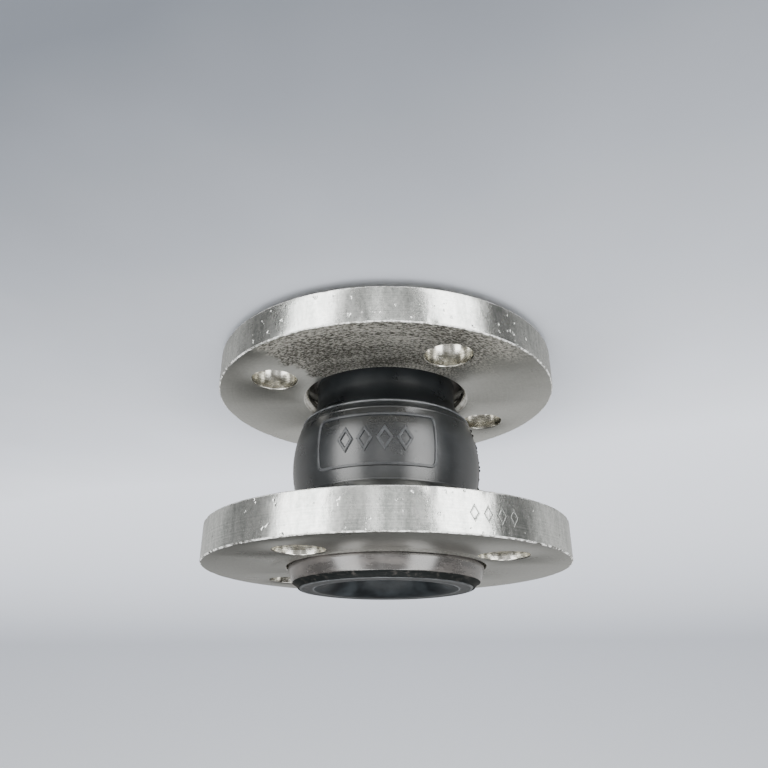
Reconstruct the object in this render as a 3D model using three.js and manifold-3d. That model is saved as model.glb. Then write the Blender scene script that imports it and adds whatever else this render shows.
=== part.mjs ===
// Single-arch rubber expansion joint for a DN 32 pipe, with two loose steel flanges.
//
// Millimetres, +Z up along the pipe axis. The origin is the middle of the lower sealing face,
// which is what the joint stands on, and -Y is the side that carries the moulded name panel.
//
// The rubber body is one moulding of four layers (cover, two cord plies, inner tube) around two
// steel bead rings. It bends, so it is cut across at three flex stations into rings that can move
// against each other: the two ends, and the two halves of the arch.

import * as THREE from 'three';
import { mergeVertices } from 'three/addons/utils/BufferGeometryUtils.js';
import Module from 'manifold-3d';

const wasm = await Module();
wasm.setup();

// ---- Driving dimensions -------------------------------------------------------------------

// Flanges (DN 32, PN 10/16 drilling)
const FLANGE_RADIUS = 70;
const FLANGE_THICKNESS = 14;
const FLANGE_BORE_RADIUS = 33;
const BOLT_CIRCLE_RADIUS = 50;
const BOLT_HOLE_RADIUS = 9;
const BOLT_COUNT = 4;
const EDGE_CHAMFER = 0.6;
const BORE_CHAMFER = 2;
const RECESS_DEPTH = 5.5;
const RECESS_CONE_DEPTH = 4;
const LOWER_FLANGE_TURN = THREE.MathUtils.degToRad(56);
const UPPER_FLANGE_TURN = THREE.MathUtils.degToRad(29);
// How far each sealing face stands proud of its flange: the lower flange rests on its bead,
// and the upper one has dropped along the neck.
const LOWER_PROUD = 3.4;
const UPPER_PROUD = 7.7;

// Rubber body, outside
const LENGTH = 95;
const COLLAR_RADIUS = 37.5;
const COLLAR_STEP_RADIUS = 36;
const COLLAR_STEP_DEPTH = 2.4;
const COLLAR_FULL_DEPTH = 6.4;
const COLLAR_BACK_DEPTH = 8.3;
const NECK_RADIUS = 29;
const NECK_START_DEPTH = 12.4;
const NECK_END_DEPTH = 20;
const RIDGE_RADIUS = 34;
const RIDGE_DEPTH = 30;
const ARCH_RADIUS = 37.9;

// Rubber body, inside
const BORE_RADIUS = 17.5;
const MOUTH_RADIUS = 27.5;
const MOUTH_DEPTH = 9;
const CAVITY_START_DEPTH = 20;
const ARCH_WALL = 6.2;

// Layers and bead
const COVER_WALL = 2;
const PLY_WALL = 1;
const BOND = 0.1;
const SEALING_RADIUS = 33;
const SEALING_WALL = 2.7;
const COVER_SET_BACK = 0.3;
const BEAD_RADIUS = 33.2;
const BEAD_SECTION_RADIUS = 1.7;
const PLY_LAP = 0.3;

// Flex stations
const HINGE_DEPTH = 25;
const CUT_GAP = 0.3;
const COLLAR_CLEARANCE = 0.8;

// Facets
const RUBBER_SIDES = 30;
const FLANGE_SIDES = 60;
const HOLE_SIDES = 16;
const BEAD_SECTION_SIDES = 8;
const MOUTH_STEPS = 4;
const ARCH_STEPS = 3;

// ---- Materials ----------------------------------------------------------------------------

const zincPlate = new THREE.MeshStandardMaterial({ color: 0xb4b6b8, roughness: 0.3, metalness: 1 });
const blackRubber = new THREE.MeshStandardMaterial({ color: 0x24272b, roughness: 0.5, metalness: 0 });
const tubeRubber = new THREE.MeshStandardMaterial({ color: 0x3a3b3b, roughness: 0.65, metalness: 0 });
const nylonCord = new THREE.MeshStandardMaterial({ color: 0xc9bfa3, roughness: 0.8, metalness: 0 });
const beadSteel = new THREE.MeshStandardMaterial({ color: 0x8a8c8e, roughness: 0.4, metalness: 1 });

// ---- Surfaces of the rubber body, as a radius at a depth from the nearer sealing face --------

const MIDDLE_DEPTH = LENGTH / 2;

/** Outside of the shoulder, which flares out of the neck as far as the ridge. */
function shoulderRadius(depth) {
  const share = (depth - NECK_END_DEPTH) / (RIDGE_DEPTH - NECK_END_DEPTH);
  return RIDGE_RADIUS - (RIDGE_RADIUS - NECK_RADIUS) * Math.cos(share * Math.PI / 2);
}

/** Outside of the arch, a circular arc from ridge to ridge. */
function archRadius(depth) {
  const halfChord = MIDDLE_DEPTH - RIDGE_DEPTH;
  const rise = ARCH_RADIUS - RIDGE_RADIUS;
  const radius = (halfChord ** 2 + rise ** 2) / (2 * rise);
  return ARCH_RADIUS - radius + Math.sqrt(radius ** 2 - (MIDDLE_DEPTH - depth) ** 2);
}

/** Outside of the body from the bead to the middle of the arch. */
function outerRadius(depth) {
  if (depth <= NECK_END_DEPTH) return NECK_RADIUS;
  return depth < RIDGE_DEPTH ? shoulderRadius(depth) : archRadius(depth);
}

/** Inside of the body: the straight bore, then the cavity under the arch. */
function innerRadius(depth) {
  if (depth <= CAVITY_START_DEPTH) return BORE_RADIUS;
  const share = (depth - CAVITY_START_DEPTH) / (MIDDLE_DEPTH - CAVITY_START_DEPTH);
  return BORE_RADIUS + (ARCH_RADIUS - ARCH_WALL - BORE_RADIUS) * Math.sin(share * Math.PI / 2);
}

// What each layer takes off the outside radius, down to its own outer and inner surface.
const COVER = { outer: 0, inner: COVER_WALL };
const OUTER_PLY = { outer: COVER.inner + BOND, inner: COVER.inner + BOND + PLY_WALL };
const INNER_PLY = { outer: OUTER_PLY.inner + BOND, inner: OUTER_PLY.inner + BOND + PLY_WALL };
const TUBE = { outer: INNER_PLY.inner + BOND };

// ---- Solids -------------------------------------------------------------------------------

/** Points from a flat list of radius, height pairs. */
function profile(...pairs) {
  return pairs.map(([radius, height]) => new THREE.Vector2(radius, height));
}

/** A ring turned about Z from a closed outline that runs anticlockwise, radius right and Z up. */
function turned(outline, sides) {
  const geometry = new THREE.LatheGeometry([...outline, outline[0]], sides);
  return geometry.rotateX(Math.PI / 2);
}

/** The same outline, measured down from the upper sealing face instead of up from the lower one. */
function fromTop(outline) {
  return outline.map((point) => new THREE.Vector2(point.x, LENGTH - point.y)).reverse();
}

function mesh(name, geometry, material) {
  const result = new THREE.Mesh(geometry, material);
  result.name = name;
  return result;
}

/** A geometry as a manifold solid. */
function toSolid(geometry) {
  const bare = geometry.clone();
  bare.deleteAttribute('normal');
  bare.deleteAttribute('uv');
  const merged = mergeVertices(bare, 1e-4);
  return new wasm.Manifold(new wasm.Mesh({
    numProp: 3,
    vertProperties: new Float32Array(merged.attributes.position.array),
    triVerts: new Uint32Array(merged.index.array),
  }));
}

/** A manifold solid as a geometry. */
function toGeometry(solid) {
  const result = solid.getMesh();
  const geometry = new THREE.BufferGeometry();
  geometry.setAttribute('position', new THREE.BufferAttribute(result.vertProperties, 3));
  geometry.setIndex(new THREE.BufferAttribute(result.triVerts, 1));
  geometry.computeVertexNormals();
  return geometry;
}

// ---- Flange -------------------------------------------------------------------------------

/** Outline of the flange disc, with its outer face at zero and its inner face above. */
function flangeOutline() {
  const recessRadius = COLLAR_RADIUS + COLLAR_CLEARANCE;
  return profile(
    [FLANGE_RADIUS - EDGE_CHAMFER, 0],
    [FLANGE_RADIUS, EDGE_CHAMFER],
    [FLANGE_RADIUS, FLANGE_THICKNESS - EDGE_CHAMFER],
    [FLANGE_RADIUS - EDGE_CHAMFER, FLANGE_THICKNESS],
    [FLANGE_BORE_RADIUS + BORE_CHAMFER, FLANGE_THICKNESS],
    [FLANGE_BORE_RADIUS, FLANGE_THICKNESS - BORE_CHAMFER],
    [FLANGE_BORE_RADIUS, RECESS_DEPTH + RECESS_CONE_DEPTH],
    [recessRadius, RECESS_DEPTH],
    [recessRadius, EDGE_CHAMFER],
    [recessRadius + EDGE_CHAMFER, 0],
  );
}

/** Loose flange, outer face at zero, with its first bolt hole on +X. */
function flangeGeometry() {
  let solid = toSolid(turned(flangeOutline(), FLANGE_SIDES));
  for (let index = 0; index < BOLT_COUNT; index += 1) {
    const angle = index * 2 * Math.PI / BOLT_COUNT;
    const drill = new THREE.CylinderGeometry(
      BOLT_HOLE_RADIUS, BOLT_HOLE_RADIUS, FLANGE_THICKNESS * 2, HOLE_SIDES,
    );
    drill.rotateX(Math.PI / 2);
    drill.translate(
      BOLT_CIRCLE_RADIUS * Math.cos(angle), BOLT_CIRCLE_RADIUS * Math.sin(angle), FLANGE_THICKNESS / 2,
    );
    solid = solid.subtract(toSolid(drill));
  }
  return toGeometry(solid);
}

function lowerFlange() {
  const part = mesh('lower_flange', flangeGeometry(), zincPlate);
  part.position.z = LOWER_PROUD;
  part.rotation.z = LOWER_FLANGE_TURN;
  return part;
}

/** The upper flange is the same disc turned over. */
function upperFlange() {
  const part = mesh('upper_flange', flangeGeometry(), zincPlate);
  const holder = new THREE.Group();
  part.rotation.x = Math.PI;
  holder.add(part);
  holder.position.z = LENGTH - UPPER_PROUD;
  holder.rotation.z = UPPER_FLANGE_TURN;
  return holder;
}

// ---- Rubber ends: bead, collar and neck -----------------------------------------------------

const END_CUT_DEPTH = HINGE_DEPTH - CUT_GAP / 2;
const TUBE_TURN = { wall: NECK_RADIUS - TUBE.outer, top: SEALING_WALL };
const INNER_PLY_FOOT = TUBE_TURN.top + BOND;
const OUTER_PLY_FOOT = INNER_PLY_FOOT + PLY_WALL + BOND;
const BEAD_SEAT = OUTER_PLY_FOOT + PLY_WALL + BOND;
const COVER_EDGE_RADIUS = SEALING_RADIUS + BOND;
const POCKET_REACH = BEAD_SECTION_RADIUS + BOND;
const PLY_TURN_OUT_RADIUS = BEAD_RADIUS + POCKET_REACH + PLY_LAP;

/** The neck part of a layer surface, from the flex cut down to the straight neck. */
function neckDown(offset) {
  return profile(
    [outerRadius(END_CUT_DEPTH) - offset, END_CUT_DEPTH],
    [NECK_RADIUS - offset, NECK_END_DEPTH],
  );
}

function neckUp(offset) {
  return neckDown(offset).reverse();
}

/** Cover: the collar, which hides the bead ring, and the neck. */
function coverEnd() {
  const pocketTop = BEAD_SEAT + 2 * POCKET_REACH;
  return [
    ...profile(
      [COVER_EDGE_RADIUS, COVER_SET_BACK],
      [COLLAR_STEP_RADIUS, COLLAR_STEP_DEPTH],
      [COLLAR_RADIUS, COLLAR_FULL_DEPTH],
      [COLLAR_RADIUS, COLLAR_BACK_DEPTH],
      [NECK_RADIUS, NECK_START_DEPTH],
    ),
    ...neckUp(COVER.outer),
    ...neckDown(COVER.inner),
    ...profile(
      [NECK_RADIUS - COVER.inner, BEAD_SEAT],
      [BEAD_RADIUS - POCKET_REACH, BEAD_SEAT],
      [BEAD_RADIUS - POCKET_REACH, pocketTop],
      [BEAD_RADIUS + POCKET_REACH, pocketTop],
      [BEAD_RADIUS + POCKET_REACH, BEAD_SEAT],
      [PLY_TURN_OUT_RADIUS + BOND, BEAD_SEAT],
      [PLY_TURN_OUT_RADIUS + BOND, SEALING_WALL + BOND],
      [COVER_EDGE_RADIUS, SEALING_WALL + BOND],
    ),
  ];
}

/** A cord ply: down the neck, then turned out under the bead ring. */
function plyEnd(layer, foot) {
  return [
    ...profile(
      [NECK_RADIUS - layer.inner, foot],
      [PLY_TURN_OUT_RADIUS, foot],
      [PLY_TURN_OUT_RADIUS, foot + PLY_WALL],
      [NECK_RADIUS - layer.outer, foot + PLY_WALL],
    ),
    ...neckUp(layer.outer),
    ...neckDown(layer.inner),
  ];
}

/** Inner tube: the bore, its flared mouth and the sealing face. */
function tubeEnd() {
  const mouth = [];
  for (let step = 0; step <= MOUTH_STEPS; step += 1) {
    const angle = step / MOUTH_STEPS * Math.PI / 2;
    mouth.push(new THREE.Vector2(
      MOUTH_RADIUS - (MOUTH_RADIUS - BORE_RADIUS) * Math.sin(angle),
      MOUTH_DEPTH * (1 - Math.cos(angle)),
    ));
  }
  return [
    ...mouth.reverse(),
    ...profile(
      [SEALING_RADIUS, 0],
      [SEALING_RADIUS, TUBE_TURN.top],
      [TUBE_TURN.wall, TUBE_TURN.top],
    ),
    ...neckUp(TUBE.outer),
    ...profile(
      [innerRadius(END_CUT_DEPTH), END_CUT_DEPTH],
      [BORE_RADIUS, CAVITY_START_DEPTH],
    ),
  ];
}

/** Steel wire ring inside the collar, seated on the turned-out plies and wider than the flange bore. */
function beadRing() {
  const depth = BEAD_SEAT + POCKET_REACH;
  const outline = [];
  for (let index = 0; index < BEAD_SECTION_SIDES; index += 1) {
    const angle = (index + 0.5) / BEAD_SECTION_SIDES * 2 * Math.PI;
    outline.push(new THREE.Vector2(
      BEAD_RADIUS + BEAD_SECTION_RADIUS * Math.cos(angle),
      depth + BEAD_SECTION_RADIUS * Math.sin(angle),
    ));
  }
  return outline;
}

// ---- Rubber arch: two halves of four layers ---------------------------------------------------

/** Depths at which the arch surfaces have a point, from the flex cut to the middle cut. */
function archDepths() {
  const depths = [HINGE_DEPTH + CUT_GAP / 2];
  for (let step = 0; step <= ARCH_STEPS; step += 1) {
    const end = MIDDLE_DEPTH - CUT_GAP / 2;
    depths.push(RIDGE_DEPTH + (end - RIDGE_DEPTH) * step / ARCH_STEPS);
  }
  return depths;
}

/** One layer of a half arch, between two surfaces given as radii at a depth. */
function archHalf(outside, inside) {
  const depths = archDepths();
  return [
    ...depths.map((depth) => new THREE.Vector2(outside(depth), depth)),
    ...depths.map((depth) => new THREE.Vector2(inside(depth), depth)).reverse(),
  ];
}

function archLayer(layer) {
  return archHalf(
    (depth) => outerRadius(depth) - layer.outer,
    (depth) => outerRadius(depth) - layer.inner,
  );
}

// ---- Assembly -------------------------------------------------------------------------------

const RINGS = [
  { name: 'cover', end: coverEnd(), arch: archLayer(COVER), material: blackRubber },
  {
    name: 'outer_ply', end: plyEnd(OUTER_PLY, OUTER_PLY_FOOT), arch: archLayer(OUTER_PLY), material: nylonCord,
  },
  {
    name: 'inner_ply', end: plyEnd(INNER_PLY, INNER_PLY_FOOT), arch: archLayer(INNER_PLY), material: nylonCord,
  },
  {
    name: 'inner_tube',
    end: tubeEnd(),
    arch: archHalf((depth) => outerRadius(depth) - TUBE.outer, innerRadius),
    material: tubeRubber,
  },
];

const joint = new THREE.Group();
for (const { name, end, arch, material } of RINGS) {
  joint.add(mesh(`${name}_lower_end`, turned(end, RUBBER_SIDES), material));
  joint.add(mesh(`${name}_lower_arch`, turned(arch, RUBBER_SIDES), material));
  joint.add(mesh(`${name}_upper_arch`, turned(fromTop(arch), RUBBER_SIDES), material));
  joint.add(mesh(`${name}_upper_end`, turned(fromTop(end), RUBBER_SIDES), material));
}
joint.add(mesh('lower_bead_ring', turned(beadRing(), RUBBER_SIDES), beadSteel));
joint.add(mesh('upper_bead_ring', turned(fromTop(beadRing()), RUBBER_SIDES), beadSteel));
joint.add(lowerFlange());
joint.add(upperFlange());

export default joint;
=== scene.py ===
"""Visual model of a single-arch rubber expansion joint with two loose steel flanges."""

import logging
import math
import random
from dataclasses import dataclass
from enum import Enum
from typing import Any, Callable, Iterable, Sequence

import bmesh
import bpy
from mathutils import Matrix, Vector, noise


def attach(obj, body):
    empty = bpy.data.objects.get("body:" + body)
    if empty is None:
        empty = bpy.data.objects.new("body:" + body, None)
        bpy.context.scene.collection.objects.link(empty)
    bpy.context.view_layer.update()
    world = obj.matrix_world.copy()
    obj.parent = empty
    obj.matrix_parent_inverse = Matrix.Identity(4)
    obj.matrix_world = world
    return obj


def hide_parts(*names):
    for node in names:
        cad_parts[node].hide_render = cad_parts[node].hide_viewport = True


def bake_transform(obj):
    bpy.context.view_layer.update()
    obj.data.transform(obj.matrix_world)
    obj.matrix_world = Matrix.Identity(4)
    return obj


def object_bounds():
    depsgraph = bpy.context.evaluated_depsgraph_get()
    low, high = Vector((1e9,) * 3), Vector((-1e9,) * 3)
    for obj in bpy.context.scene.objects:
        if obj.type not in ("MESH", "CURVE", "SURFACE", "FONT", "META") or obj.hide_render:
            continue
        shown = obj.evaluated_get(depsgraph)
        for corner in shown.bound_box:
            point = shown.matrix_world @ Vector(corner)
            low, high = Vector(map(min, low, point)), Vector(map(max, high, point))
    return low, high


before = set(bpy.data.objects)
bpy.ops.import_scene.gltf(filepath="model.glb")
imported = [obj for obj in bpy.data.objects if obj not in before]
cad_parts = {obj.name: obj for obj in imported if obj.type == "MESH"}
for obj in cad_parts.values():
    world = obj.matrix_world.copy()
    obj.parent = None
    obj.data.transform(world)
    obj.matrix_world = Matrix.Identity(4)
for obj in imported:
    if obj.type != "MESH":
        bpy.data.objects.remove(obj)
CAD_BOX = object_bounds()

LOG = logging.getLogger("expansion_joint")
MM = 0.001

Point = tuple[float, float]
Colour = tuple[float, float, float]


# ---- Shader maths ---------------------------------------------------------------------------


class Value:
    """A number socket that adds Math nodes when it takes part in arithmetic."""

    def __init__(self, tree: "Shader", socket: bpy.types.NodeSocket) -> None:
        """Wraps a socket.

        Args:
            tree: The shader that the socket belongs to.
            socket: The output socket.
        """
        self.tree = tree
        self.socket = socket

    def math(self, operation: str, *others: "Value | float") -> "Value":
        """Adds a Math node that starts from this value.

        Args:
            operation: The node's operation.
            others: Its further inputs.

        Returns:
            The node's result.
        """
        inputs = dict(enumerate((self, *others)))
        return Value(self.tree, self.tree.node("Math", {"operation": operation}, inputs).outputs[0])

    def __add__(self, other: "Value | float") -> "Value":
        """Sum."""
        return self.math("ADD", other)

    def __sub__(self, other: "Value | float") -> "Value":
        """Difference."""
        return self.math("SUBTRACT", other)

    def __mul__(self, other: "Value | float") -> "Value":
        """Product."""
        return self.math("MULTIPLY", other)

    def __truediv__(self, other: "Value | float") -> "Value":
        """Quotient."""
        return self.math("DIVIDE", other)

    def __rsub__(self, other: float) -> "Value":
        """Difference from a number."""
        return (self * -1.0) + other

    __radd__ = __add__
    __rmul__ = __mul__

    def ranged(self, low: float, high: float, to_low: float = 0.0, to_high: float = 1.0) -> "Value":
        """Maps this value linearly and clamps it.

        Args:
            low: Value that becomes to_low.
            high: Value that becomes to_high.
            to_low: Result at low.
            to_high: Result at high.

        Returns:
            The mapped value.
        """
        inputs = {0: self, 1: low, 2: high, 3: to_low, 4: to_high}
        return Value(self.tree, self.tree.node("MapRange", {"clamp": True}, inputs).outputs[0])


class Shader:
    """A material's node tree, with one way to add nodes to it."""

    def __init__(self, name: str) -> None:
        """Starts a material with a Principled surface.

        Args:
            name: The material's name.
        """
        self.material = bpy.data.materials.new(name)
        self.material.use_nodes = True
        self.tree = self.material.node_tree
        self.surface = self.tree.nodes["Principled BSDF"]
        self.place = self.node("TexCoord").outputs["Object"]

    def node(
        self, kind: str, settings: dict[str, Any] | None = None, inputs: dict[Any, Any] | None = None
    ) -> bpy.types.Node:
        """Adds a node.

        Args:
            kind: The node type after ShaderNode.
            settings: Attributes, set first.
            inputs: Values or links, by socket name or number.

        Returns:
            The node.
        """
        made = self.tree.nodes.new(f"ShaderNode{kind}")
        for key, setting in (settings or {}).items():
            setattr(made, key, setting)
        for key, given in (inputs or {}).items():
            self.connect(given, made.inputs[key])
        return made

    def connect(self, given: Any, socket: bpy.types.NodeSocket) -> None:
        """Links or sets a socket.

        Args:
            given: A Value, a socket or a constant.
            socket: The input socket.
        """
        if isinstance(given, Value):
            self.tree.links.new(given.socket, socket)
        elif isinstance(given, bpy.types.NodeSocket):
            self.tree.links.new(given, socket)
        elif isinstance(given, tuple) and socket.type == "RGBA":
            socket.default_value = (*given, 1.0)
        else:
            socket.default_value = given

    def stretched(self, scale: tuple[float, float, float]) -> bpy.types.NodeSocket:
        """The object's coordinates, scaled along each axis."""
        return self.node("VectorMath", {"operation": "MULTIPLY"}, {0: self.place, 1: scale}).outputs[0]

    def axis(self, letter: str) -> Value:
        """One of the object's coordinates, X, Y or Z, in metres."""
        return Value(self, self.node("SeparateXYZ", inputs={0: self.place}).outputs[letter])

    def radius(self) -> Value:
        """Distance from the pipe axis, in metres."""
        flat = self.stretched((1.0, 1.0, 0.0))
        return Value(self, self.node("VectorMath", {"operation": "LENGTH"}, {0: flat}).outputs["Value"])

    def noise(
        self, scale: float, detail: float = 2.0, roughness: float = 0.5, where: Any = None
    ) -> Value:
        """Fractal noise from 0 to 1.

        Args:
            scale: Features per metre.
            detail: Octaves.
            roughness: Share kept from octave to octave.
            where: Coordinates, or None for the object's own.

        Returns:
            The noise.
        """
        inputs = {
            "Vector": where or self.place, "Scale": scale, "Detail": detail, "Roughness": roughness,
        }
        return Value(self, self.node("TexNoise", inputs=inputs).outputs[0])

    def stripes(self, along: Value, scale: float, detail: float = 2.0) -> Value:
        """Noise that varies along one value only, such as turning marks.

        Args:
            along: The value it follows, in metres.
            scale: Features per metre.
            detail: Octaves.

        Returns:
            The noise.
        """
        inputs = {"W": along, "Scale": scale, "Detail": detail}
        return Value(self, self.node("TexNoise", {"noise_dimensions": "1D"}, inputs).outputs[0])

    def azimuth(self) -> Value:
        """Angle round the pipe axis from +X, in degrees."""
        return self.axis("Y").math("ARCTAN2", self.axis("X")) * math.degrees(1.0)

    def swept(self, reach: float) -> bpy.types.NodeSocket:
        """Coordinates that draw noise out round the pipe axis.

        Args:
            reach: Metres of noise per full turn.

        Returns:
            The coordinates.
        """
        turned = {"X": self.radius(), "Y": self.azimuth() * (reach / 360.0), "Z": self.axis("Z")}
        return self.node("CombineXYZ", inputs=turned).outputs[0]

    def window(self, value: Value, start: float, end: float, soft: float) -> Value:
        """1 between two limits and 0 outside them.

        Args:
            value: What is tested.
            start: Lower limit.
            end: Upper limit.
            soft: Half the width of each edge.

        Returns:
            The window.
        """
        return value.ranged(start - soft, start + soft) - value.ranged(end - soft, end + soft)

    def blend(self, factor: Value, first: Any, second: Any) -> bpy.types.NodeSocket:
        """Mixes two colours.

        Args:
            factor: Share of the second.
            first: Colour or socket.
            second: Colour or socket.

        Returns:
            The mixed colour.
        """
        inputs = {0: factor, 6: first, 7: second}
        return self.node("Mix", {"data_type": "RGBA"}, inputs).outputs[2]

    def bump(self, height: Value, depth: float, strength: float = 1.0, base: Any = None) -> Any:
        """Turns a height into a normal.

        Args:
            height: Height from 0 to 1.
            depth: What a height of 1 stands for, in metres.
            strength: Strength of the bump.
            base: A normal to start from.

        Returns:
            The normal socket.
        """
        inputs = {"Height": height, "Distance": depth, "Strength": strength}
        if base is not None:
            inputs["Normal"] = base
        return self.node("Bump", inputs=inputs).outputs[0]

    def set(self, **inputs: Any) -> bpy.types.Material:
        """Sets the surface's sockets; a name's underscores stand for spaces.

        Args:
            inputs: Values or links.

        Returns:
            The material.
        """
        for key, given in inputs.items():
            self.connect(given, self.surface.inputs[key.replace("_", " ")])
        return self.material


# ---- Finishes -------------------------------------------------------------------------------


@dataclass(frozen=True)
class TurnedFace:
    """Zinc-plated flange face: smooth, with a painted dark reflection: a grainy sector with painted glints
    facing the camera on the lower one, and specks on the camera side of the upper collar.
    """

    name: str = "zinc_turned_face"
    light: Colour = (0.66, 0.66, 0.62)
    dark: Colour = (0.52, 0.52, 0.48)
    # Colour of the painted dark reflection.
    painted_reflection: Colour = (0.10, 0.095, 0.08)
    # Bright colour of the scored marks and of the painted glints.
    scratch_and_glint: Colour = (0.72, 0.70, 0.64)
    # Sector of the painted dark reflection, facing the camera on the lower flange.
    sector_from: float = -143.0
    sector_to: float = -52.0
    sector_top: float = 30.0 * MM
    sector_soft: tuple[float, float] = (9.0, 1.5)
    sector_ragged: float = 26.0
    # Patch of painted dark reflection by the upper flange's collar, on the camera side.
    collar_reflection_radius: tuple[float, float] = (46.0 * MM, 42.0 * MM)
    collar_reflection_height: tuple[float, float] = (84.0 * MM, 85.0 * MM)
    collar_reflection_front: tuple[float, float] = (-10.0 * MM, -25.0 * MM)
    collar_reflection_ragged: float = 16.0 * MM
    score_side: tuple[float, float] = (-30.0 * MM, -45.0 * MM)

    def material(self) -> bpy.types.Material:
        """Builds the material."""
        shader = Shader(self.name)
        cloud = shader.noise(45.0, 5.0, 0.6)
        marks = shader.stripes(shader.radius(), 1400.0, 3.0)
        fine = shader.noise(700.0, 3.0, 0.6)
        grain = shader.noise(1500.0, 3.0, 0.8, shader.swept(0.15))
        band = shader.noise(140.0, 3.0, 0.6, shader.swept(0.06))
        # Painted dark reflection: a ragged sector facing the camera on the lower flange, and a patch on the
        # camera side of the upper flange's collar.
        soft_start, soft_end = self.sector_soft
        ragged = shader.azimuth() + (band - 0.5) * self.sector_ragged
        painted_reflection = ragged.ranged(self.sector_from - soft_start, self.sector_from + soft_start)
        painted_reflection = painted_reflection - ragged.ranged(self.sector_to - soft_end, self.sector_to + soft_end)
        painted_reflection = painted_reflection * shader.axis("Z").ranged(self.sector_top + MM, self.sector_top - MM)
        collar_reflection = (shader.radius() + (band - 0.5) * self.collar_reflection_ragged).ranged(*self.collar_reflection_radius)
        collar_reflection = collar_reflection * shader.axis("Z").ranged(*self.collar_reflection_height)
        painted_reflection = painted_reflection + collar_reflection * shader.axis("Y").ranged(*self.collar_reflection_front, 0.0, 0.6)
        scored = shader.noise(260.0, 4.0, 0.7, shader.stretched((1.0, 3.0, 1.0)))
        scored = scored.ranged(0.66, 0.70) * shader.axis("X").ranged(*self.score_side)
        tone = (cloud * 0.5 + marks * 0.15 + fine * 0.35).ranged(0.35, 0.62)
        plain_face = shader.blend(scored * 0.7, shader.blend(tone, self.dark, self.light), self.scratch_and_glint)
        # Painted glints inside the painted dark reflection.
        painted_glints = (grain * 0.75 + band * 0.25).ranged(0.45, 0.57)
        colour = shader.blend(painted_reflection, plain_face, shader.blend(painted_glints, self.painted_reflection, self.scratch_and_glint))
        rough = cloud.ranged(0.3, 0.7, 0.26, 0.32) + painted_reflection * 0.22
        smooth = shader.bump(fine + scored, 0.02 * MM, 0.5)
        normal = shader.bump(grain * painted_reflection, 0.14 * MM, 0.9, smooth)
        metal = painted_reflection.ranged(0.0, 1.0, 1.0, 0.93)
        return shader.set(Base_Color=colour, Metallic=metal, Roughness=rough, Normal=normal)


@dataclass(frozen=True)
class TurnedRim:
    """Zinc-plated flange rim, turned bright, with knocks and a row of struck lozenges."""

    name: str = "zinc_turned_rim"
    light: Colour = (0.90, 0.91, 0.88)
    dark: Colour = (0.46, 0.48, 0.46)
    mark_pitch: float = 0.5 * MM
    struck_from: float = -132.6
    struck_to: float = -116.6
    struck_pitch: float = 4.0
    struck_half: tuple[float, float] = (1.35, 2.7 * MM)
    struck_height: float = 80.6 * MM

    def struck(self, shader: Shader) -> Value:
        """Where the rim is pressed in by the row of lozenges."""
        turn = shader.azimuth()
        across = ((turn - self.struck_from) / self.struck_pitch).math("FRACT") - 0.5
        across = across.math("ABSOLUTE") * (self.struck_pitch / self.struck_half[0])
        along = (shader.axis("Z") - self.struck_height).math("ABSOLUTE") / self.struck_half[1]
        ring = shader.window(across + along, 0.72, 1.0, 0.09)
        return ring * shader.window(turn, self.struck_from, self.struck_to, 0.01)

    def material(self) -> bpy.types.Material:
        """Builds the material."""
        shader = Shader(self.name)
        marks = shader.stripes(shader.axis("Z"), 1.0 / self.mark_pitch, 2.0)
        streaks = shader.noise(420.0, 4.0, 0.65, shader.stretched((1.0, 1.0, 0.2)))
        cloud = shader.noise(110.0, 5.0, 0.7, shader.stretched((1.0, 1.0, 0.4)))
        mottle = shader.noise(800.0, 4.0, 0.75)
        knocks = shader.noise(330.0, 2.0, 0.5).ranged(0.67, 0.73)
        struck = self.struck(shader)
        tone = (cloud * 0.4 + marks * 0.1 + mottle * 0.3 + streaks * 0.2).ranged(0.40, 0.57)
        colour = shader.blend(tone - struck * 0.6, self.dark, self.light)
        rough = cloud.ranged(0.3, 0.7, 0.22, 0.32) + knocks * 0.1
        fine = shader.bump(marks * 0.15 + mottle * 0.4 + streaks * 0.45, 0.08 * MM, 0.8)
        normal = shader.bump(knocks * -1.0 - struck * 2.6, 0.16 * MM, 0.9, fine)
        return shader.set(
            Base_Color=colour, Metallic=1.0, Roughness=rough, Anisotropic=0.88,
            Anisotropic_Rotation=0.25, Normal=normal,
        )


@dataclass(frozen=True)
class BurredEdge:
    """Edge of the rim, where the turning left a broken bright burr."""

    name: str = "zinc_burred_edge"
    light: Colour = (0.97, 0.97, 0.94)
    dark: Colour = (0.42, 0.42, 0.39)

    def material(self) -> bpy.types.Material:
        """Builds the material."""
        shader = Shader(self.name)
        broken = shader.noise(520.0, 5.0, 0.75)
        colour = shader.blend(broken.ranged(0.42, 0.54), self.dark, self.light)
        return shader.set(
            Base_Color=colour, Metallic=broken.ranged(0.46, 0.56, 1.0, 0.2), Roughness=0.38,
            Normal=shader.bump(broken, 0.2 * MM, 0.8),
        )


@dataclass(frozen=True)
class DrilledWall:
    """Wall of a drilled or bored hole, plated bright."""

    name: str = "zinc_drilled_wall"
    light: Colour = (0.80, 0.79, 0.74)
    dark: Colour = (0.36, 0.345, 0.30)

    def material(self) -> bpy.types.Material:
        """Builds the material."""
        shader = Shader(self.name)
        feed = shader.stripes(shader.axis("Z"), 1.0 / (0.5 * MM), 2.0)
        cloud = shader.noise(300.0, 4.0, 0.6)
        colour = shader.blend((cloud * 0.7 + feed * 0.3).ranged(0.35, 0.6), self.dark, self.light)
        return shader.set(
            Base_Color=colour, Metallic=1.0, Roughness=cloud.ranged(0.3, 0.7, 0.14, 0.24),
            Normal=shader.bump(feed * 0.6 + cloud * 0.4, 0.04 * MM, 0.5),
        )


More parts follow.
